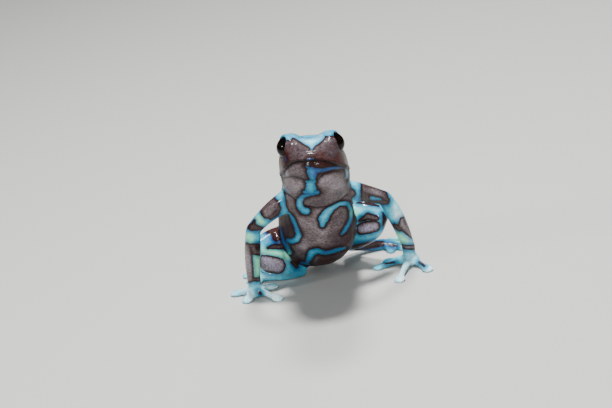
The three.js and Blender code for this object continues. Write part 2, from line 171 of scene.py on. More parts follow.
def make_camera():
    data = bpy.data.cameras.new("camera")
    data.lens = CAMERA_LENS
    data.sensor_width = CAMERA_SENSOR
    data.clip_start = CAMERA_NEAR
    data.clip_end = CAMERA_FAR
    camera = bpy.data.objects.new("camera", data)
    turn = Matrix((CAMERA_RIGHT, CAMERA_UP, CAMERA_BACK)).transposed()
    camera.matrix_world = Matrix.Translation(CAMERA_PLACE * MM) @ turn.to_4x4()
    bpy.context.scene.collection.objects.link(camera)
    bpy.context.scene.camera = camera


def link_mesh(name, bm):
    bmesh.ops.recalc_face_normals(bm, faces=bm.faces)
    mesh = bpy.data.meshes.new(name)
    bm.to_mesh(mesh)
    bm.free()
    piece = bpy.data.objects.new(name, mesh)
    bpy.context.scene.collection.objects.link(piece)
    return piece


# The skin's raw form: all the flesh, swollen so that its seams close, as one fine shell
def swollen_flesh():
    bm = bmesh.new()
    for name in FLESH:
        bm.from_mesh(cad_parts[name].data)
    bmesh.ops.scale(bm, vec=(1 / MM, 1 / MM, 1 / MM), verts=bm.verts)
    bmesh.ops.remove_doubles(bm, verts=bm.verts, dist=WELD)
    bm.normal_update()
    moves = [vert.normal * SWELL * min(vert.calc_shell_factor(), SWELL_LIMIT) for vert in bm.verts]
    for vert, move in zip(bm.verts, moves):
        vert.co += move
    mesh = bpy.data.meshes.new("flesh")
    bm.to_mesh(mesh)
    bm.free()
    shell = bpy.data.objects.new("flesh", mesh)
    bpy.context.scene.collection.objects.link(shell)
    remesh = shell.modifiers.new("one_skin", "REMESH")
    remesh.mode = "VOXEL"
    remesh.voxel_size = VOXEL
    graph = bpy.context.evaluated_depsgraph_get()
    skin = bpy.data.meshes.new_from_object(shell.evaluated_get(graph))
    bpy.data.objects.remove(shell)
    bpy.data.meshes.remove(mesh)
    return skin


class Skin:
    """The skin's points as arrays, with the calls that shape it."""

    def __init__(self, mesh):
        self.mesh = mesh
        self.points = self.read("vertices", "co", 3)
        self.edges = self.read("edges", "vertices", 2, np.int64)
        count = len(self.points)
        self.neighbours = np.bincount(self.edges.ravel(), minlength=count).astype(float)
        self.solid = self.nearest_solids()

    def read(self, what, field, width, kind=float):
        values = np.zeros(len(getattr(self.mesh, what)) * width, kind)
        getattr(self.mesh, what).foreach_get(field, values)
        return values.reshape(-1, width)

    def nearest_solids(self):
        """For each point, the place in FLESH of the solid that it lies nearest to."""
        corners, faces, owner = [], [], []
        for index, name in enumerate(FLESH):
            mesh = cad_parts[name].data
            start = len(corners)
            corners += [vert.co / MM for vert in mesh.vertices]
            faces += [[start + i for i in face.vertices] for face in mesh.polygons]
            owner += [index] * len(mesh.polygons)
        tree = BVHTree.FromPolygons(corners, faces)
        found = [tree.find_nearest(Vector(p))[2] for p in self.points]
        return np.array([owner[i] for i in found])

    def on(self, *starts):
        """Which points lie on the solids whose names start so."""
        wanted = [i for i, name in enumerate(FLESH) if name.startswith(starts)]
        return np.isin(self.solid, wanted)

    def normals(self):
        self.mesh.vertices.foreach_set("co", self.points.ravel())
        self.mesh.update()
        return self.read("vertex_normals", "vector", 3)

    def relax(self, rounds, weight):
        """Draws each point towards the middle of its neighbours."""
        a, b = self.edges.T
        count = len(self.points)
        for _ in range(rounds):
            total = np.empty_like(self.points)
            for axis in range(3):
                column = self.points[:, axis]
                total[:, axis] = np.bincount(a, column[b], count) + np.bincount(b, column[a], count)
            mean = total / self.neighbours[:, None]
            self.points += (mean - self.points) * weight[:, None] * SMOOTH_STEP

    def spread(self, values, rounds):
        """Blurs a value that each point has over its neighbours."""
        a, b = self.edges.T
        count = len(values)
        for _ in range(rounds):
            total = np.bincount(a, values[b], count) + np.bincount(b, values[a], count)
            values = 0.5 * values + 0.5 * total / self.neighbours
        return values

    def tree(self):
        faces = [tuple(face.vertices) for face in self.mesh.polygons]
        return BVHTree.FromPolygons([Vector(p) for p in self.points], faces)


def stretches(places, line):
    """Each straight stretch of a bent line, with each place's share along it and way off it."""
    for first, second in zip(line, line[1:]):
        start, end = np.array(first[:2], float), np.array(second[:2], float)
        along = end - start
        share = np.clip((places - start) @ along / (along @ along), 0, 1)
        yield first, second, along, share, places - start - share[:, None] * along


def line_distance(places, line):
    """Distance from each place to a bent line, less the line's own half width there."""
    best = np.full(len(places), NOWHERE)
    for first, second, _, share, off in stretches(places, line):
        half_width = first[2] + (second[2] - first[2]) * share
        best = np.minimum(best, np.linalg.norm(off, axis=1) - half_width)
    return best


def traced_distance(places, line):
    """The same in millimetres, from a line traced over the photograph."""
    return line_distance(places, line) * MM_PER_TRACE


def height_above(places, line):
    """Distance from a bent line, positive above the line as it runs to the right."""
    best = np.full(len(places), NOWHERE)
    sign = np.ones(len(places))
    for _, _, along, _, off in stretches(places, line):
        away = np.linalg.norm(off, axis=1)
        side = np.sign(along[1] * off[:, 0] - along[0] * off[:, 1])
        sign = np.where(away < best, side, sign)
        best = np.minimum(best, away)
    return best * sign


def hump(distance, width):
    return np.exp(-(distance / width) ** 2)


def in_photo(points):
    """Where points fall in the enlarged photograph, and the way from each to the camera."""
    reach = points - np.array(CAMERA_PLACE)
    depth = -reach @ np.array(CAMERA_BACK)
    px = PHOTO_WIDTH / 2 + reach @ np.array(CAMERA_RIGHT) / depth / PIXEL
    py = PHOTO_HEIGHT / 2 - reach @ np.array(CAMERA_UP) / depth / PIXEL
    towards = -reach / np.linalg.norm(reach, axis=1)[:, None]
    return (np.stack([px, py], axis=1) - TRACE_CORNER) * TRACE, towards


# Sides of the frog that the photograph doesn't show, each as the axis to the right and the
# axis upwards in its drawing, and the way towards its viewer
SLANT = math.sqrt(0.5)
SIDES = {
    "dorsal": ((1, 0, 0), (0, -SLANT, SLANT), (0, SLANT, SLANT)),
    "back": ((1, 0, 0), (0, 0, 1), (0, 1, 0)),
    "top": ((1, 0, 0), (0, -1, 0), (0, 0, 1)),
    "under": ((1, 0, 0), (0, -1, 0), (0, 0, -1)),
    "left": ((0, -1, 0), (0, 0, 1), (1, 0, 0)),
    "right": ((0, -1, 0), (0, 0, 1), (-1, 0, 0)),
}


def in_drawing(points, side):
    """Where points fall in the drawing of one side, in millimetres."""
    right, up, _ = SIDES[side]
    local = points - np.array(SHIFT)
    return np.stack([local @ np.array(right), local @ np.array(up)], axis=1)


def seen_share(skin, towards, normals):
    """How well each point of the skin shows from a direction, from 0 to 1."""
    tree = skin.tree()
    facing = np.einsum("ij,ij->i", normals, towards)
    seen = np.zeros(len(skin.points))
    for i in np.nonzero(facing > 0)[0]:
        start = Vector(skin.points[i] + normals[i] * LIFT_OFF)
        if tree.ray_cast(start, Vector(towards[i]))[0] is None:
            seen[i] = min(1.0, facing[i] * SEEN_GAIN)
    return skin.spread(seen, SEEN_SPREAD)


# Markings as (tone, line of (x, y, half width)), traced over the photograph. Tones of blue
# run from deep blue at 0 to white at 1, and tones of brown from dark red to pale mauve.
BLUE_IN_PHOTO = [
    # lids, crown and the triangle over the snout
    (0.72, [(392, 158, 14), (418, 156, 19), (452, 160, 15)]),
    (0.75, [(396, 142, 14), (430, 136, 16), (480, 138, 14)]),
    (0.85, [(462, 146, 14), (520, 146, 15), (600, 144, 15), (680, 138, 15)]),
    (0.72, [(708, 134, 14), (745, 128, 18), (785, 120, 17), (802, 118, 14)]),
    (0.75, [(690, 122, 12), (736, 108, 14), (796, 102, 14)]),
    (0.9, [(500, 160, 8), (560, 180, 24), (600, 190, 36), (640, 180, 26), (690, 155, 10)]),
    (0.8, [(606, 214, 22), (607, 244, 7)]),
    (0.35, [(574, 313, 6), (600, 309, 9), (622, 306, 7)]),
    (0.05, [(420, 285, 4), (432, 330, 5)]),
    (0.8, [(403, 415, 5), (407, 428, 5)]),
    (0.6, [(391, 445, 5), (394, 480, 7), (398, 520, 11), (394, 560, 14)]),
    (0.6, [(840, 366, 8), (856, 398, 11), (853, 440, 10)]),
    # chin and throat
    (0.2, [(560, 356, 5), (585, 372, 10), (625, 392, 19), (680, 388, 15), (740, 375, 12),
           (800, 368, 9), (836, 366, 6)]),
    (0.28, [(606, 396, 34), (612, 418, 31), (614, 440, 24)]),
    (0.62, [(568, 466, 7), (632, 466, 7)]),
    (0.55, [(600, 492, 34), (602, 520, 40)]),
    (0.45, [(556, 540, 12), (650, 542, 13)]),
    (0.6, [(652, 553, 5), (595, 557, 9), (545, 572, 15), (519, 602, 22), (525, 640, 23),
           (548, 668, 25), (574, 673, 24)]),
    # chest
    (0.75, [(681, 768, 20), (688, 728, 35), (711, 690, 31), (750, 651, 20), (797, 622, 15),
            (840, 618, 17)]),
    (0.42, [(860, 622, 15), (882, 668, 14), (881, 725, 14), (862, 772, 15), (836, 812, 14),
            (817, 832, 10)]),
    (0.5, [(452, 690, 7), (474, 728, 13), (498, 788, 16), (517, 842, 20), (503, 870, 22),
           (468, 884, 18), (440, 878, 16)]),
    (0.4, [(388, 790, 5), (396, 840, 10), (410, 885, 14), (438, 930, 16), (454, 962, 16)]),
    # painted light: the blue band along the bottom of the belly, its own blue painted lighter to
    # stand in for light from below
    (0.55, [(573, 1036, 13), (588, 1004, 21), (605, 967, 26), (645, 951, 20), (700, 966, 15),
            (750, 956, 16), (800, 941, 14), (842, 930, 8)]),
    (0.15, [(530, 1032, 9), (592, 1052, 9)]),
    (0.5, [(1028, 589, 7), (1064, 581, 9)]),
]
BROWN_IN_PHOTO = [
    (0.2, [(634, 352, 9), (676, 350, 18), (722, 356, 9)]),
]
TRUNK_TONES_IN_PHOTO = [
    # snout and lips
    (0.32, [(480, 215, 30), (540, 250, 20)]),
    (0.35, [(690, 215, 30), (740, 190, 30)]),
    (0.35, [(470, 270, 20), (540, 270, 20), (650, 265, 20), (740, 260, 20)]),
    # dark red-brown band along the upper lip, partly its own colour and partly painted shade of the
    # upper lip
    (0.15, [(470, 308, 8), (540, 302, 6), (650, 300, 6), (740, 306, 10), (800, 316, 16)]),
    (0.0, [(790, 318, 14), (828, 345, 12)]),
    (0.05, [(640, 345, 20), (720, 350, 16)]),
    # throat lobes, the chin beside them and the belly
    (0.45, [(500, 395, 24), (545, 400, 24)]),
    (0.75, [(440, 505, 24), (495, 515, 30)]),
    (0.75, [(715, 480, 34), (790, 465, 34)]),
    (0.5, [(600, 600, 16), (760, 580, 26)]),
    (0.65, [(452, 600, 14), (460, 650, 14)]),
    (0.1, [(415, 740, 16), (430, 800, 20), (445, 850, 12)]),
    (0.7, [(560, 740, 34), (640, 820, 40), (560, 880, 34)]),
    (0.55, [(790, 700, 24), (795, 760, 24)]),
    (0.4, [(480, 950, 20), (520, 985, 20)]),
    (0.2, [(700, 1010, 24), (850, 880, 16), (890, 840, 12)]),
]
ARM_BROWN_IN_PHOTO = [
    # right arm
    (0.65, [(294, 682, 44), (343, 633, 44)]),
    (0.6, [(262, 662, 18), (338, 592, 18)]),
    (0.5, [(378, 651, 16), (364, 688, 17), (314, 723, 13)]),
    (0.6, [(438, 592, 17), (454, 632, 27), (462, 664, 22)]),
    (0.3, [(206, 740, 11), (196, 772, 18), (180, 784, 24), (214, 788, 23), (252, 792, 13)]),
    (0.5, [(150, 916, 16), (240, 914, 15)]),
    (0.8, [(148, 925, 34), (154, 1000, 40), (158, 1080, 42), (166, 1140, 36)]),
    (0.2, [(200, 925, 22), (210, 956, 24), (240, 962, 24)]),
    (0.5, [(165, 1152, 15), (240, 1150, 15)]),
    (0.4, [(236, 1240, 9), (248, 1250, 10)]),
    # left arm
    (0.55, [(846, 548, 31), (882, 548, 34)]),
    (0.75, [(984, 526, 36), (1029, 532, 34), (1085, 548, 32), (1120, 568, 22)]),
    (0.4, [(972, 486, 22), (972, 590, 22)]),
    (0.7, [(972, 486, 16), (1050, 508, 16), (1124, 552, 14)]),
    (0.3, [(972, 600, 20), (1036, 612, 15), (1134, 612, 16)]),
    (0.5, [(984, 560, 24), (998, 592, 16)]),
    (0.5, [(1106, 574, 18), (1138, 594, 16)]),
    (0.2, [(1190, 774, 16), (1222, 800, 16)]),
    (0.8, [(1240, 736, 20), (1242, 772, 34), (1278, 812, 26), (1308, 848, 16)]),
    (0.8, [(1262, 726, 18), (1296, 790, 26), (1326, 846, 18)]),
    (0.55, [(1236, 918, 15), (1270, 926, 17), (1336, 926, 19)]),
    (0.45, [(1120, 1042, 6), (1190, 1030, 6)]),
    (0.45, [(1362, 1030, 7), (1396, 1058, 7)]),
]
LEG_BROWN_IN_PHOTO = [
    # right leg
    (0.0, [(316, 800, 34), (366, 806, 34), (358, 860, 26)]),
    (0.55, [(300, 930, 11), (350, 920, 19), (402, 922, 18)]),
    (1.0, [(240, 1040, 64), (330, 1048, 60), (368, 1055, 57)]),
    (0.5, [(470, 1030, 13), (500, 1058, 15)]),
    # left leg
    (0.45, [(885, 604, 8), (1000, 617, 13), (1110, 632, 14)]),
    (0.5, [(940, 740, 10), (1002, 708, 24), (1062, 722, 17)]),
    (1.0, [(958, 797, 42), (1005, 787, 45), (1048, 779, 40)]),
    # painted shadow: dark brown at the left knee, where the forearm casts its shadow
    (0.1, [(1118, 680, 16), (1122, 770, 18)]),
    (0.3, [(900, 930, 20), (1050, 905, 24), (1100, 900, 18)]),
    (0.4, [(1140, 905, 8), (1200, 915, 9)]),
]
LIMB_TONES_IN_PHOTO = [
    (0.62, [(400, 560, 20), (412, 640, 24)]),
    (0.6, [(228, 730, 20), (300, 760, 20)]),
    (0.75, [(170, 850, 20), (225, 850, 20)]),
    (0.8, [(222, 1010, 16), (222, 1120, 16)]),
    (0.75, [(880, 490, 20), (925, 510, 20)]),
    # painted highlight: the white core along the left upper arm by the elbow
    (0.95, [(1150, 620, 26), (1210, 710, 26)]),
    (0.45, [(1135, 640, 8), (1165, 780, 8)]),
    (0.85, [(1230, 850, 24), (1300, 890, 24)]),
    (0.45, [(275, 850, 30), (290, 890, 20)]),
    (0.85, [(270, 950, 14), (360, 965, 16), (430, 1000, 16)]),
    # painted light: the blue undersides of the right leg, their own blue painted lighter to stand
    # in for light from below
    (0.7, [(270, 1130, 20), (340, 1130, 16)]),
    (0.5, [(430, 1110, 20), (520, 1100, 20)]),
    (0.6, [(450, 1010, 14), (470, 1090, 14)]),
    # painted highlight: the white streak along the top of the left thigh
    (1.0, [(890, 645, 18), (965, 640, 14)]),
    (0.7, [(1000, 660, 18), (1085, 670, 18)]),
    # painted light: the blue underside of the left leg, its own blue painted lighter to stand in
    # for light from below
    (0.6, [(910, 850, 20), (960, 890, 20), (1060, 850, 20)]),
    (1.0, [(170, 1190, 30), (250, 1230, 30), (400, 1270, 30)]),
    (0.95, [(50, 1260, 30), (150, 1280, 30)]),
    (1.0, [(1270, 980, 30), (1320, 1000, 30), (1230, 1150, 30), (1430, 1080, 30)]),
    (0.9, [(1050, 1060, 24), (1180, 1010, 24)]),
]
# Where the blue turns to mint green
MINT_IN_PHOTO = [
    [(240, 730, 12), (252, 750, 10)],
    [(170, 850, 8), (175, 880, 8)],
    [(228, 1000, 14), (226, 1120, 14)],
    [(270, 950, 8), (360, 968, 12), (440, 990, 14)],
    [(1200, 840, 12), (1250, 880, 14)],
    [(905, 665, 8), (900, 690, 8)],
]

# Markings of the sides that the photograph doesn't show, as (side, tone, line of (x, y, half
# width)), in millimetres in the drawing of that side
BLUE_UNSEEN = [
    ("dorsal", 0.62, [(-2.4, 36.6, 0.9), (-3.0, 33.2, 0.7), (-3.9, 29.4, 0.9), (-3.3, 25.6, 0.7),
                      (-2.6, 22.4, 0.9), (-3.9, 18.2, 0.8), (-4.4, 14.4, 0.7), (-3.2, 10.2, 0.9),
                      (-2.4, 6.0, 0.7)]),
    ("dorsal", 0.62, [(4.8, 36.6, 0.9), (5.2, 33.4, 0.7), (5.6, 29.6, 0.8), (4.7, 26.0, 0.9),
                      (4.1, 23.2, 0.7), (5.0, 18.8, 0.9), (4.4, 14.8, 0.7), (4.7, 11.0, 0.8),
                      (3.2, 6.6, 0.8)]),
    ("dorsal", 0.7, [(-3.2, 32.2, 0.6), (-0.8, 30.6, 0.9), (1.4, 31.4, 0.6)]),
    ("dorsal", 0.55, [(4.3, 24.0, 0.7), (1.8, 23.0, 1.0), (0.6, 20.8, 0.7), (-0.2, 18.4, 0.9)]),
    ("dorsal", 0.6, [(-4.3, 15.2, 0.7), (-2.0, 13.6, 0.9), (0.2, 14.4, 0.5)]),
    ("dorsal", 0.6, [(4.4, 10.6, 0.7), (1.8, 9.0, 1.0), (0.2, 10.0, 0.6)]),
    ("dorsal", 0.5, [(-2.6, 7.0, 0.7), (-0.2, 4.6, 0.8), (1.0, 2.8, 0.7)]),
    ("dorsal", 0.8, [(1.5, 27.6, 0.8), (1.9, 26.9, 0.7)]),
    ("top", 0.7, [(-2.5, 22.2, 0.9), (-1.9, 19.8, 0.7)]),
    ("top", 0.7, [(5.0, 22.2, 0.9), (4.3, 19.8, 0.7)]),
    ("left", 0.62, [(24.2, 25.3, 0.4), (21.0, 23.6, 0.6), (18.0, 21.8, 0.8), (15.8, 20.0, 0.7)]),
    ("right", 0.62, [(24.2, 25.6, 0.4), (20.8, 24.2, 0.6), (18.0, 22.4, 0.8), (15.8, 20.6, 0.7)]),
    ("left", 0.5, [(13.6, 18.0, 0.7), (10.6, 15.4, 0.9), (7.4, 12.0, 0.8), (4.2, 8.6, 0.8)]),
    ("right", 0.5, [(13.0, 18.6, 0.8), (10.0, 15.0, 0.8), (7.0, 11.4, 0.9), (3.6, 8.4, 0.8)]),
    ("under", 0.4, [(-3.8, 10.5, 0.7), (-1.2, 8.0, 1.0), (1.6, 7.2, 0.8), (4.6, 8.6, 0.8)]),
    ("under", 0.4, [(-2.2, 3.4, 0.7), (0.6, 2.0, 0.9), (2.8, 3.6, 0.7)]),
]
LIMB_BROWN_UNSEEN = [
    ("back", 0.6, [(-3.6, 7.2, 1.1), (-6.2, 8.2, 1.0)]),
    ("back", 0.6, [(4.4, 9.4, 1.1), (7.0, 10.6, 1.1)]),
    ("top", 0.55, [(-8.0, 6.6, 1.1), (-9.0, 7.2, 0.9)]),
    ("top", 0.55, [(-3.4, 1.4, 1.0), (-4.6, 2.2, 1.0)]),
    ("top", 0.6, [(4.2, 1.0, 1.0), (5.4, 2.2, 1.0)]),
    ("top", 0.6, [(8.6, 4.4, 1.2), (9.8, 5.2, 1.0)]),
    ("back", 0.7, [(-8.4, 5.0, 0.8), (-7.0, 4.0, 0.9)]),
    ("back", 0.7, [(9.2, 7.2, 1.0), (7.8, 5.6, 1.1)]),
    ("top", 0.5, [(-6.2, 3.3, 0.8), (-7.4, 3.0, 0.8)]),
    ("top", 0.5, [(7.4, -2.2, 0.8), (8.6, -2.6, 0.8)]),
    ("back", 0.6, [(-5.0, 18.0, 1.0), (-7.0, 16.8, 0.9)]),
    ("back", 0.6, [(7.0, 17.8, 1.0), (9.4, 16.4, 0.9)]),
    ("back", 0.5, [(-11.2, 8.8, 0.8), (-11.6, 6.6, 0.8)]),
    ("back", 0.5, [(14.0, 9.4, 0.8), (14.6, 7.2, 0.8)]),
    ("right", 0.5, [(12.0, 9.0, 0.7), (11.2, 6.8, 0.7)]),
    ("left", 0.5, [(9.2, 9.6, 0.7), (8.4, 7.4, 0.7)]),
    ("left", 0.8, [(5.0, 8.4, 1.3), (3.4, 6.6, 1.2)]),
    ("right", 0.8, [(6.4, 5.6, 1.0), (5.4, 4.4, 1.0)]),
    ("top", 0.5, [(-11.4, 1.4, 0.5), (-12.0, 0.8, 0.5)]),
    ("top", 0.5, [(12.0, -3.0, 0.5), (12.8, -3.4, 0.5)]),
]

# How far a marking's distance is kept, how far its tone and its mint green reach, and the tone
# of limbs and trunk where no marking is near, which counts for as little as BASE_WEIGHT
FAR = 1.2
TONE_REACH = 0.6
MINT_FADE = 0.45
BASE_WEIGHT = 0.05
LIMB_TONE, TRUNK_TONE = 0.55, 0.5
LIMB_SPREAD = 3
# A point belongs to a side's drawing where its normal leans towards that side's viewer by this
FACING = 0.1

# How wet the skin shines: limbs fully, the head and the granular torso less
WET_LIMBS, WET_HEAD, WET_TORSO = 1.0, 0.4, 0.1
WET_SPREAD = 5

# The line of the mouth, then creases as (depth, width, line) and swellings as (height, width of
# the edge, line of (x, y, half width)), all traced over the photograph
MOUTH = [(398, 416), (418, 384), (442, 350), (470, 334), (508, 325), (562, 327), (610, 322),
         (676, 318), (732, 329), (797, 352), (834, 364), (856, 374)]
CREASES = [
    # folds of the throat: right, left, and between them
    (0.20, 0.24, [(410, 440, 0), (470, 436, 0), (530, 448, 0), (552, 458, 0)]),
    (0.20, 0.24, [(650, 466, 0), (668, 440, 0), (702, 408, 0), (760, 390, 0), (832, 386, 0)]),
    (0.10, 0.14, [(552, 457, 0), (600, 452, 0), (650, 465, 0)]),
    # folds in front of the right arm and across the chest
    (0.26, 0.16, [(402, 538, 0), (440, 562, 0), (480, 590, 0), (497, 604, 0)]),
    (0.22, 0.30, [(560, 640, 0), (640, 656, 0), (740, 640, 0), (806, 606, 0), (862, 560, 0)]),
    # nostrils
    (0.22, 0.14, [(505, 239, 3), (508, 241, 3)]),
    (0.22, 0.14, [(667, 221, 3), (670, 223, 3)]),
]
SWELLINGS = [
    (0.22, 0.5, [(455, 490, 20), (492, 508, 28)]),
    (0.26, 0.6, [(712, 468, 30), (786, 468, 40)]),
    (0.16, 0.5, [(640, 590, 20), (740, 560, 30)]),
]
# How much painted shade darkens creases for their depth, and over how much of their width
CREASE_SHADE = 3.6
CREASE_CORE = 0.7
# Lips and the line between them, as (height above the mouth's line, width, how far it rises)
LIP_UPPER = (0.30, 0.26, 0.2)
LIP_LOWER = (-0.40, 0.30, -0.14)
LIP_LINE = (-0.02, 0.16, -0.34)
# How dark the painted shade along the mouth's line is
LIP_SHADE = 1.5
# The eardrum's place in the upright body, and the shallow groove round it
EARDRUM = (5.35, 19.2, 26.5)
EARDRUM_RADIUS = 0.85
EARDRUM_DEPTH, EARDRUM_GROOVE = 0.09, 0.1


def carve(skin):
    """Carves mouth, nostrils, eardrums and creases, swells the throat, and paints dark shade into
    the creases and along the mouth's line.
    """
    normals = skin.normals()
    places, towards = in_photo(skin.points)
    seen = seen_share(skin, towards, normals)
    head = skin.on("head")
    above_mouth = height_above(places, MOUTH) * MM_PER_TRACE
    # dark gathers the painted shade of the creases and of the mouth's line
    rise, dark = np.zeros(len(seen)), np.zeros(len(seen))
    for height, edge, line in SWELLINGS:
        rise += height * smooth(np.clip(1 - traced_distance(places, line) / edge, 0, 1))
    for depth, width, line in CREASES:
        away = traced_distance(places, line)
        rise -= depth * hump(away, width)
        dark = np.maximum(dark, depth * CREASE_SHADE * hump(away, width * CREASE_CORE))
    for middle, width, height in (LIP_UPPER, LIP_LOWER, LIP_LINE):
        rise += height * hump(above_mouth - middle, width) * head
    middle, width, _ = LIP_LINE
    dark = np.maximum(dark, LIP_SHADE * hump(above_mouth - middle, width) * head)
    rise *= seen
    side, f, z = EARDRUM
    for sign in (-1, 1):
        away = np.linalg.norm(skin.points - np.array(placed(sign * side, f, z)), axis=1)
        rise -= EARDRUM_DEPTH * hump(away - EARDRUM_RADIUS, EARDRUM_GROOVE)
    skin.points += normals * rise[:, None]
    return np.clip(dark * seen, 0, 1)


class Paint:
    """How far each point is outside the blue, and its tone, built up one marking at a time."""

    def __init__(self, skin):
        self.limbs = ~skin.on("head", "torso")
        self.trunk = ~self.limbs
        self.outside = skin.spread(np.where(self.limbs, -FAR, FAR), LIMB_SPREAD)
        self.weight = np.full(len(self.limbs), BASE_WEIGHT)
        self.tones = self.weight * np.where(self.limbs, LIMB_TONE, TRUNK_TONE)

    def stroke(self, colour, tone, away, where):
        """Adds a marking, which covers what was there, and lends its tone to what is near."""
        if colour == "blue":
            self.outside = np.where(where, np.minimum(self.outside, away), self.outside)
        if colour == "brown":
            self.outside = np.where(where, np.maximum(self.outside, -away), self.outside)
        near = where * hump(np.maximum(away, 0), TONE_REACH)
        self.tones = self.tones + near * tone
        self.weight = self.weight + near

    def result(self):
        return np.clip(self.outside, -FAR, FAR), self.tones / self.weight


def paint_front(skin, places):
    """The markings that the photograph shows."""
    front = Paint(skin)
    arms = skin.on("upper_arm", "forearm", "hand")
    legs = skin.on("thigh", "shank", "tarsus", "foot")
    for colour, strokes, where in (
        ("blue", BLUE_IN_PHOTO, front.trunk),
        ("brown", BROWN_IN_PHOTO, front.trunk),
        ("tone", TRUNK_TONES_IN_PHOTO, front.trunk),
        ("tone", LIMB_TONES_IN_PHOTO, front.limbs),
        ("brown", ARM_BROWN_IN_PHOTO, arms),
        ("brown", LEG_BROWN_IN_PHOTO, legs),
    ):
        for tone, line in strokes:
            front.stroke(colour, tone, traced_distance(places, line), where)
    return front.result()


def paint_back(skin, normals):
    """The markings of all the other sides."""
    back = Paint(skin)
    for colour, strokes, where in (
        ("blue", BLUE_UNSEEN, back.trunk),
        ("brown", LIMB_BROWN_UNSEEN, back.limbs),
    ):
        for side, tone, line in strokes:
            faces = normals @ np.array(SIDES[side][2], float) > FACING
            away = line_distance(in_drawing(skin.points, side), line)
            back.stroke(colour, tone, away, where & faces)
    return back.result()


def paint(skin):
    """Three numbers at each point: how far it is outside the blue, its tone, and its mint."""
    normals = skin.normals()
    places, towards = in_photo(skin.points)
    seen = seen_share(skin, towards, normals)
    seen_outside, seen_tone = paint_front(skin, places)
    hidden_outside, hidden_tone = paint_back(skin, normals)
    outside = hidden_outside * (1 - seen) + skin.spread(seen_outside, 1) * seen
    mint = np.zeros(len(seen))
    for line in MINT_IN_PHOTO:
        away = np.maximum(traced_distance(places, line), 0)
        mint = np.maximum(mint, seen * hump(away, MINT_FADE))
    return outside, hidden_tone * (1 - seen) + seen_tone * seen, mint


def linear(hex_colour):
    """The colour in the linear values that a socket takes, from its sRGB hex value."""
    channels = [int(hex_colour[i:i + 2], 16) / 255 for i in (1, 3, 5)]
    return [c / 12.92 if c <= 0.04045 else ((c + 0.055) / 1.055) ** 2.4 for c in channels] + [1.0]


def new_material(name):
    made = bpy.data.materials.new(name)
    made.use_nodes = True
    made.node_tree.nodes.clear()
    return made


def node(tree, kind, settings=None, links=None, stops=()):
    """Adds a shader node with its settings, its links and a ramp's stops as (place, colour)."""
    made = tree.nodes.new(kind)
    for field, value in (settings or {}).items():
        if isinstance(field, str) and hasattr(made, field):
            setattr(made, field, value)
        else:
            made.inputs[field].default_value = value
    for socket, source in (links or {}).items():
        tree.links.new(source, made.inputs[socket])
    for _ in stops[2:]:
        made.color_ramp.elements.new(0.5)
    for index, (place, colour) in enumerate(stops):
        made.color_ramp.elements[index].position = place
        made.color_ramp.elements[index].color = linear(colour)
    return made


# Sockets of a Mix node that mixes colours: its two colours and its result
MIX_A, MIX_B, MIXED = 6, 7, 2

# Widths in millimetres of the patterns of the skin. A pixel of the render is 0.17 mm wide, so
# what is finer on a living frog is drawn as coarse as it needs to be to show.
CLOUD = 2.86        # paler and darker areas, as wide as on the frog
WAVE = 0.833        # waves in the edges of the markings, as wide as on the frog
SPECKLE = 0.333     # clusters of pigment cells, about 0.1 mm wide on the frog
GRANULE = 0.357     # granules of the skin, about 0.15 mm wide on the frog
GRAIN = 0.1667      # creases between granules, about 0.03 mm wide on the frog
GRANULE_HEIGHT = 0.09
GRAIN_SHARE = 0.5
# Detail and roughness of a soft pattern, and of one with crisp, broken spots
SOFT = (2.0, 0.5)
CRISP = (3.0, 0.7)

# How each pattern is read: the span of its values, and what that span becomes
NOISE_SPAN = (0.3, 0.7)
SPECKLE_SPAN = (0.36, 0.64)
TONE_DRIFT = (-0.13, 0.13)
EDGE_WAVER = (-0.05, 0.05)
BROWN_MOTTLE = (0.55, 1.4)
BLUE_DAPPLE = (0.8, 1.14)

# Edges in millimetres outside the blue: where it darkens towards its edge, where it gives way
# to the dark rim, and where the rim gives way to the bronze
BLUE_DARKENS = (-0.75, -0.1)
BLUE_ENDS = (-0.1, 0.04)
RIM_ENDS = (0.12, 0.62)

# Colours by tone, and those that don't change with it
BLUES = [(0.0, "#2b3f70"), (0.3, "#3c6b9c"), (0.55, "#3a9fb9"), (0.8, "#6cc8dc"), (1.0, "#cdeef6")]
BRONZES = [(0.0, "#371a1c"), (0.15, "#38211f"), (0.35, "#3d3438"), (0.6, "#5e5355"),
           (0.8, "#7b7176"), (1.0, "#948ca2")]
MINT_GREEN = "#86e0bb"
BLUE_EDGE = "#8fa3b8"
DARK_RIM = "#240d0a"
# Dark brown of the painted shade in the creases and along the mouth's line
PAINTED_SHADE_BROWN = "#120807"

# The film of water on the skin, as its share on dry granular skin and on wet smooth skin, with
# the roughness under it and the strength of the granules in both
FILM = (0.01, 0.45)
ROUGHNESS = (0.55, 0.4)
RELIEF = (0.6, 0.22)


def blue_paint(tree, tone, mint, dapple, darkens):
    """Turquoise to deep blue pigment, mint green in places, dappled and darker at its edge."""
    ramp = node(tree, "ShaderNodeValToRGB", links={0: tone}, stops=BLUES)
    minted = node(tree, "ShaderNodeMix", {"data_type": "RGBA", MIX_B: linear(MINT_GREEN)},
                  {0: mint, MIX_A: ramp.outputs["Color"]})
    dappled = node(tree, "ShaderNodeVectorMath", {"operation": "SCALE"},
                   {0: minted.outputs[MIXED], "Scale": dapple})
    return node(tree, "ShaderNodeMix",
                {"data_type": "RGBA", "blend_type": "MULTIPLY", MIX_B: linear(BLUE_EDGE)},
                {0: darkens, MIX_A: dappled.outputs[0]}).outputs[MIXED]


def bronze_paint(tree, tone, mottle, rim_ends):
    """Mottled bronze to pinkish grey, with the dark red-brown rim that edges the blue."""
    ramp = node(tree, "ShaderNodeValToRGB", links={0: tone}, stops=BRONZES)
    mottled = node(tree, "ShaderNodeVectorMath", {"operation": "SCALE"},
                   {0: ramp.outputs["Color"], "Scale": mottle})
    return node(tree, "ShaderNodeMix", {"data_type": "RGBA", MIX_A: linear(DARK_RIM)},
                {0: rim_ends, MIX_B: mottled.outputs[0]}).outputs[MIXED]
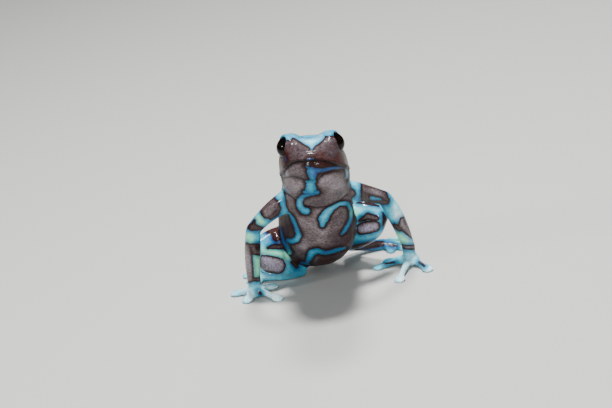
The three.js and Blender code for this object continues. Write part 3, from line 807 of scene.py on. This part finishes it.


# Living skin of a dart frog: thin, moist and unscaled, pebbled with fine granules on the back
# and belly and stretched smooth over the limbs. To the eye the body is satin and softly
# mottled, like damp fine leather, and the limbs and lids shine as if varnished, with small
# sharp glints. The markings are pigment in the skin, so they have no edge to catch the light.
# Its colour also carries painted shade in the creases and along the mouth, and the painted
# highlights, painted shadow and painted light marked in the lists of markings.
def moist_granular_skin():
    made = new_material("moist_granular_skin")
    tree = made.node_tree
    where = node(tree, "ShaderNodeTexCoord").outputs["Object"]
    scaled = node(tree, "ShaderNodeVectorMath", {"operation": "SCALE", "Scale": 1 / MM}, {0: where})
    place = scaled.outputs[0]
    marking, tone, mint, painted_crease_shade, wet = [
        node(tree, "ShaderNodeAttribute", {"attribute_name": name}).outputs["Fac"]
        for name in ("marking", "tone", "mint", "painted_crease_shade", "wet")
    ]
    clouds, waves, speckle, grain = [
        node(tree, "ShaderNodeTexNoise",
             {"Scale": 1 / width, "Detail": detail, "Roughness": roughness},
             {"Vector": place}).outputs["Fac"]
        for width, (detail, roughness) in (
            (CLOUD, SOFT), (WAVE, SOFT), (SPECKLE, CRISP), (GRAIN, SOFT))
    ]
    drift, waver, mottle, dapple = [
        node(tree, "ShaderNodeMapRange",
             {"From Min": low, "From Max": high, "To Min": least, "To Max": most},
             {"Value": pattern}).outputs[0]
        for pattern, (low, high), (least, most) in (
            (clouds, NOISE_SPAN, TONE_DRIFT), (waves, NOISE_SPAN, EDGE_WAVER),
            (speckle, SPECKLE_SPAN, BROWN_MOTTLE), (speckle, SPECKLE_SPAN, BLUE_DAPPLE))
    ]
    drifted, edge = [
        node(tree, "ShaderNodeMath", {"operation": "ADD"}, {0: value, 1: change}).outputs[0]
        for value, change in ((tone, drift), (marking, waver))
    ]
    blue_darkens, blue_ends, rim_ends = [
        node(tree, "ShaderNodeMapRange", {"From Min": low, "From Max": high},
             {"Value": edge}).outputs[0]
        for low, high in (BLUE_DARKENS, BLUE_ENDS, RIM_ENDS)
    ]
    film, roughness, relief = [
        node(tree, "ShaderNodeMapRange", {"To Min": dry, "To Max": damp},
             {"Value": wet}).outputs[0]
        for dry, damp in (FILM, ROUGHNESS, RELIEF)
    ]
    blue = blue_paint(tree, drifted, mint, dapple, blue_darkens)
    bronze = bronze_paint(tree, drifted, mottle, rim_ends)
    patterned = node(tree, "ShaderNodeMix", {"data_type": "RGBA"},
                     {0: blue_ends, MIX_A: blue, MIX_B: bronze}).outputs[MIXED]
    # Painted shade: the creases and the mouth's line darken towards dark brown
    colour = node(tree, "ShaderNodeMix", {"data_type": "RGBA", MIX_B: linear(PAINTED_SHADE_BROWN)},
                  {0: painted_crease_shade, MIX_A: patterned}).outputs[MIXED]
    granules = node(tree, "ShaderNodeTexVoronoi", {"Scale": 1 / GRANULE, "feature": "SMOOTH_F1"},
                    {"Vector": place}).outputs["Distance"]
    height = node(tree, "ShaderNodeMath", {"operation": "MULTIPLY_ADD", 1: GRAIN_SHARE},
                  {0: grain, 2: granules}).outputs[0]
    bump = node(tree, "ShaderNodeBump", {"Distance": GRANULE_HEIGHT * MM},
                {"Strength": relief, "Height": height}).outputs["Normal"]
    shader = node(tree, "ShaderNodeBsdfPrincipled", {
        "IOR": 1.4, "Specular IOR Level": 0.06, "Coat IOR": 1.45, "Coat Roughness": 0.07,
    }, {"Base Color": colour, "Normal": bump, "Roughness": roughness, "Coat Weight": film})
    node(tree, "ShaderNodeOutputMaterial", links={"Surface": shader.outputs[0]})
    return made


def make_skin():
    mesh = swollen_flesh()
    skin = Skin(mesh)
    everywhere = np.ones(len(skin.points))
    skin.relax(FIRST_ROUNDS, everywhere)
    skin.points -= skin.normals() * SWELL
    toes = skin.spread(np.where(skin.on("hand", "foot"), 1.0, 0.0), TOE_SPREAD)
    skin.relax(SMOOTH_ROUNDS, 1 - TOE_HOLD * toes)
    skin.points += skin.normals() * SWELL_BACK
    painted_crease_shade = carve(skin)
    skin.relax(1, everywhere)
    skin.points[:, 2] = np.maximum(skin.points[:, 2], 0)
    marking, tone, mint = paint(skin)
    wet = np.where(skin.on("torso"), WET_TORSO, np.where(skin.on("head"), WET_HEAD, WET_LIMBS))
    wet = skin.spread(wet, WET_SPREAD)
    mesh.vertices.foreach_set("co", (skin.points * MM).ravel())
    mesh.update()
    for name, values in (("marking", marking), ("tone", tone), ("mint", mint),
                         ("painted_crease_shade", painted_crease_shade), ("wet", wet)):
        attribute = mesh.attributes.new(name, "FLOAT", "POINT")
        attribute.data.foreach_set("value", values.astype(np.float32))
    mesh.polygons.foreach_set("use_smooth", np.ones(len(mesh.polygons), bool))
    mesh.materials.append(moist_granular_skin())
    piece = bpy.data.objects.new("frog_skin", mesh)
    bpy.context.scene.collection.objects.link(piece)
    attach(piece, "root")
    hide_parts(*FLESH)


# Living eye of a frog: a dark brown iris flecked with bronze round a black, level pupil, under
# a wet, clear cornea. To the eye it is a black bead with small sharp glints, and the iris shows
# only from close by. The flecks are 0.15 mm wide, about as on the frog.
IRIS_BROWNS = [(0.45, "#050303"), (0.62, "#150d09"), (0.75, "#33241a")]
PUPIL_BLACK = "#020202"
RING_BLACK = "#050404"


def wet_cornea_over_iris():
    made = new_material("wet_cornea_over_iris")
    tree = made.node_tree
    where = node(tree, "ShaderNodeTexCoord").outputs["Object"]
    scaled = node(tree, "ShaderNodeVectorMath", {"operation": "SCALE", "Scale": 1 / MM}, {0: where})
    ring = node(tree, "ShaderNodeAttribute", {"attribute_name": "ring"}).outputs["Fac"]
    flecks = node(tree, "ShaderNodeTexNoise", {"Scale": 1 / FLECK, "Detail": 3.0},
                  {"Vector": scaled.outputs[0]}).outputs["Fac"]
    iris = node(tree, "ShaderNodeValToRGB", links={0: flecks}, stops=IRIS_BROWNS)
    past_pupil, past_iris = [
        node(tree, "ShaderNodeMapRange", {"From Min": edge - blur, "From Max": edge + blur},
             {"Value": ring}).outputs[0]
        for edge, blur in ((PUPIL, PUPIL_BLUR), (IRIS, IRIS_BLUR))
    ]
    coloured = node(tree, "ShaderNodeMix", {"data_type": "RGBA", MIX_A: linear(PUPIL_BLACK)},
                    {0: past_pupil, MIX_B: iris.outputs["Color"]}).outputs[MIXED]
    whole = node(tree, "ShaderNodeMix", {"data_type": "RGBA", MIX_B: linear(RING_BLACK)},
                 {0: past_iris, MIX_A: coloured}).outputs[MIXED]
    shader = node(tree, "ShaderNodeBsdfPrincipled", {
        "Roughness": 0.05, "IOR": 1.38, "Specular IOR Level": 0.25,
    }, {"Base Color": whole})
    node(tree, "ShaderNodeOutputMaterial", links={"Surface": shader.outputs[0]})
    return made


def make_eyes():
    cornea = wet_cornea_over_iris()
    for socket, sign in (("eye_r", -1), ("eye_l", 1)):
        low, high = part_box(socket)
        middle = (low + high) / 2
        gaze = Vector((sign * GAZE[0], GAZE[1], GAZE[2])).normalized()
        level = gaze.cross(Vector((0, 0, 1))).normalized()
        bm = bmesh.new()
        radius = (high.z - low.z) / 2 + EYE_GROW * MM
        bmesh.ops.create_uvsphere(bm, u_segments=EYE_SEGMENTS, v_segments=EYE_RINGS, radius=radius)
        rings = []
        for vert in bm.verts:
            way = vert.co.normalized()
            along = way.dot(level)
            ahead = way.dot(gaze)
            upward = math.sqrt(max(0.0, 1 - along * along - ahead * ahead))
            behind = 1.0 if ahead < 0 else 0.0
            rings.append(math.hypot(along * PUPIL_SQUASH, upward) + behind)
            bulge = max(0.0, (ahead - CORNEA_EDGE) / (1 - CORNEA_EDGE)) ** 2
            vert.co += gaze * CORNEA * MM * bulge
        bmesh.ops.translate(bm, vec=middle, verts=bm.verts)
        for face in bm.faces:
            face.smooth = True
        ball = link_mesh(socket + "_ball", bm)
        attribute = ball.data.attributes.new("ring", "FLOAT", "POINT")
        attribute.data.foreach_set("value", rings)
        ball.data.materials.append(cornea)
        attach(ball, "root")
        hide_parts(socket)


# Matt grey emulsion on a smooth board: an even field without shine, so that the frog's own
# colours and its soft shadow are all that the eye finds on it
def matt_grey_board():
    made = new_material("matt_grey_board")
    shader = node(made.node_tree, "ShaderNodeBsdfPrincipled", {
        "Base Color": linear("#b0b0ac"), "Roughness": 0.8, "Specular IOR Level": 0.5,
    })
    node(made.node_tree, "ShaderNodeOutputMaterial", links={"Surface": shader.outputs[0]})
    return made


def make_floor():
    bm = bmesh.new()
    bmesh.ops.create_grid(bm, x_segments=1, y_segments=1, size=FLOOR_HALF)
    floor = link_mesh("floor", bm)
    floor.data.materials.append(matt_grey_board())


def make_sky():
    sky = bpy.data.worlds.new("sky")
    sky.use_nodes = True
    background = sky.node_tree.nodes["Background"]
    background.inputs["Color"].default_value = linear(SKY_COLOUR)
    background.inputs["Strength"].default_value = SKY_STRENGTH
    sky.cycles_visibility.glossy = False
    bpy.context.scene.world = sky


def make_lamps():
    for name, place, width, height, watts, shines in LAMPS:
        data = bpy.data.lights.new(name, "AREA")
        data.shape = "RECTANGLE"
        data.size = width
        data.size_y = height
        data.energy = watts
        lamp = bpy.data.objects.new(name, data)
        lamp.location = place
        lamp.visible_glossy = shines
        lamp.rotation_euler = (LAMP_AIM - lamp.location).to_track_quat("-Z", "Y").to_euler()
        bpy.context.scene.collection.objects.link(lamp)


def main():
    make_camera()
    make_skin()
    make_eyes()
    make_floor()
    make_sky()
    make_lamps()


main()
